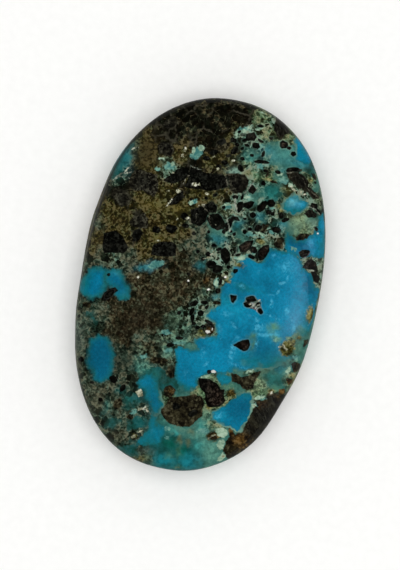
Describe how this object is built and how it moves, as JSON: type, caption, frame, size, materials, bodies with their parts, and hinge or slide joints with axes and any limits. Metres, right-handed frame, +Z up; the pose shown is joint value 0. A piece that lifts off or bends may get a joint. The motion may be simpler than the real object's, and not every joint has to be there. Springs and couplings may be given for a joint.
{
  "type": "polished turquoise stone",
  "caption": "Long oval turquoise stone in brown and black host rock, ground to a low polished dome with a bevelled edge, open pits and a flat sawn back.",
  "frame": {"origin": "middle of the flat back, on the surface that the stone lies on", "axes": "+Z up through the dome, +Y along the length, +X across the width"},
  "size_m": [0.0334, 0.0526, 0.0072],
  "materials": {
    "turquoise": "polished dome, matt ground back"
  },
  "bodies": {
    "root": {"turquoise_stone": "turquoise"}
  },
  "joints": []
}
